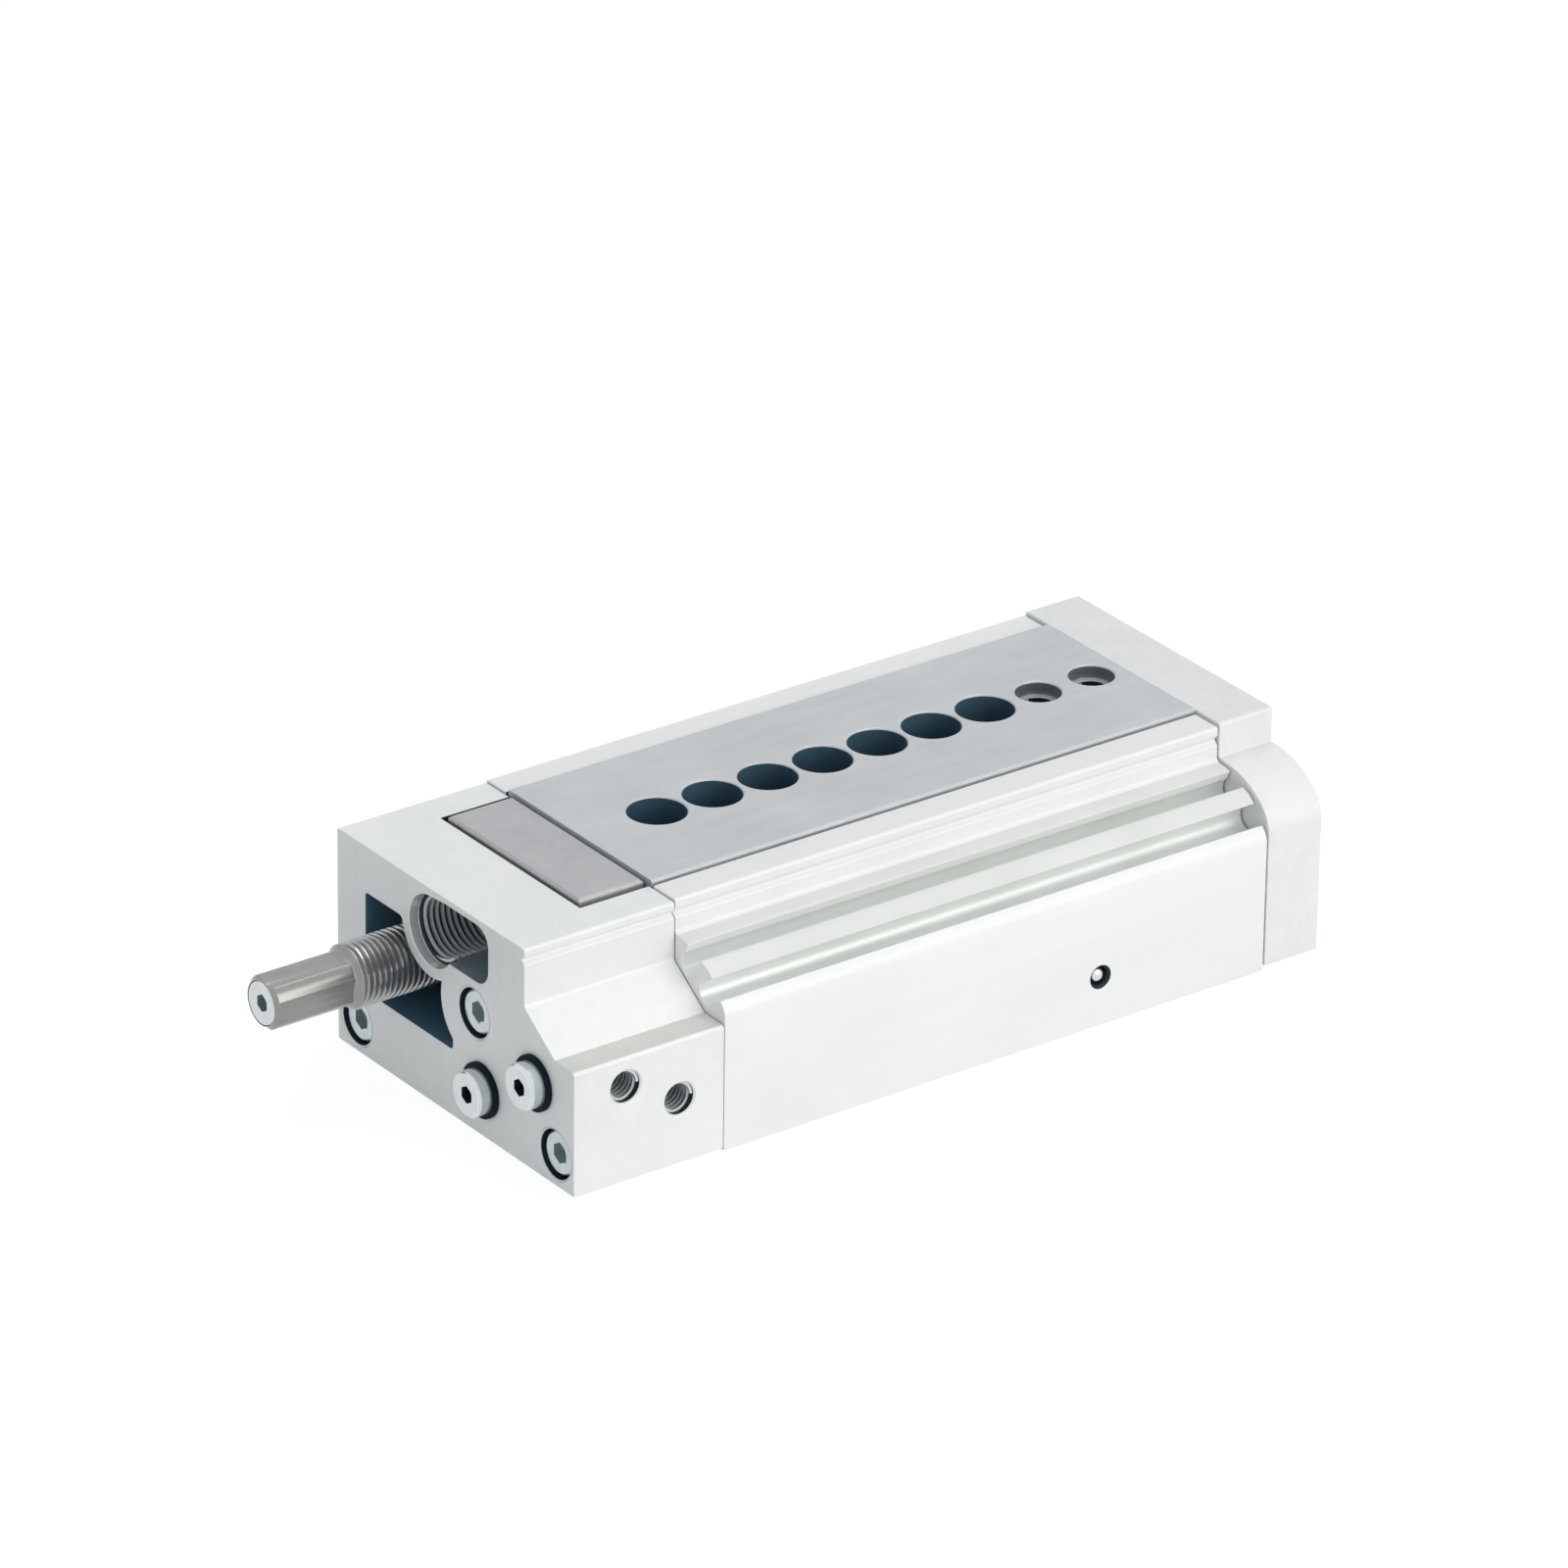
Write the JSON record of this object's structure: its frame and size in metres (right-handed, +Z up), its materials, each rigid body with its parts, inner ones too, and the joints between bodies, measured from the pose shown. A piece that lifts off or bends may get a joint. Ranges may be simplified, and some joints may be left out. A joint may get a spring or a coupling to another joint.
{
  "type": "pneumatic slide table",
  "caption": "Compact pneumatic slide table: ground steel slide on ball cages in an aluminium housing, with yoke plate, end cap and rear shock absorber.",
  "frame": {"origin": "centre of the housing's mounting underside", "axes": "+X along the stroke, the way the slide extends; +Z up out of the underside; the air ports and sensor slots face -Y"},
  "size_m": [0.159, 0.06, 0.036],
  "materials": {
    "housing_aluminium": "satin anodised, fine grain along the length",
    "cap_aluminium": "satin anodised, milled",
    "yoke_aluminium": "satin anodised, milled",
    "slide_steel": "ground, bluish grey",
    "block_steel": "ground, warm grey",
    "zinc_screw": "zinc plated, bluish",
    "zinc_plug": "zinc plated",
    "black_rubber": "matt",
    "ball_steel": "polished",
    "track_steel": "ground",
    "bearing_brass": "turned",
    "dark_steel": "black oxide",
    "absorber_steel": "turned stainless, warm grey",
    "polished_steel": "ground and polished",
    "piston_aluminium": "turned",
    "magnet_black": "bonded magnet, matt",
    "cage_brass": "stamped strip"
  },
  "bodies": {
    "base": {"housing": "housing_aluminium", "end_cap": "cap_aluminium", "cap_screws": "zinc_screw", "channel_plugs": "zinc_plug", "plug_seals": "black_rubber", "duct_ball": "ball_steel", "track_right": "track_steel", "track_left": "track_steel", "rod_bearing": "bearing_brass", "bearing_o_ring": "black_rubber", "rod_seal": "black_rubber", "bearing_clip": "dark_steel", "bore_o_ring": "black_rubber"},
    "carriage": {"slide": "slide_steel", "yoke_plate": "yoke_aluminium", "yoke_screws": "dark_steel", "stop_block": "block_steel", "block_screws": "dark_steel", "absorber_body": "absorber_steel", "absorber_plug": "zinc_plug", "piston_rod": "polished_steel", "rod_screw": "dark_steel", "piston_front": "piston_aluminium", "piston_rear": "piston_aluminium", "piston_magnet": "magnet_black", "piston_seals": "black_rubber"},
    "plunger": {"absorber_plunger": "polished_steel"},
    "cage_set_right": {"cage_right": "cage_brass", "balls_right": "ball_steel"},
    "cage_set_left": {"cage_left": "cage_brass", "balls_left": "ball_steel"}
  },
  "joints": [
    {"name": "slide_stroke", "type": "slide", "parent": "base", "child": "carriage", "axis": [1, 0, 0], "range_m": [0, 0.04]},
    {"name": "plunger_travel", "type": "slide", "parent": "carriage", "child": "plunger", "axis": [1, 0, 0], "range_m": [-0.0042, 0], "stiffness_N_per_m": 400, "springref_m": 0.001},
    {"name": "cage_travel_right", "type": "slide", "parent": "base", "child": "cage_set_right", "axis": [1, 0, 0], "range_m": [0, 0.02]},
    {"name": "cage_travel_left", "type": "slide", "parent": "base", "child": "cage_set_left", "axis": [1, 0, 0], "range_m": [0, 0.02]}
  ],
  "couplings": [
    {"joint": "cage_travel_right", "follows": "slide_stroke", "ratio": 0.5},
    {"joint": "cage_travel_left", "follows": "slide_stroke", "ratio": 0.5}
  ]
}
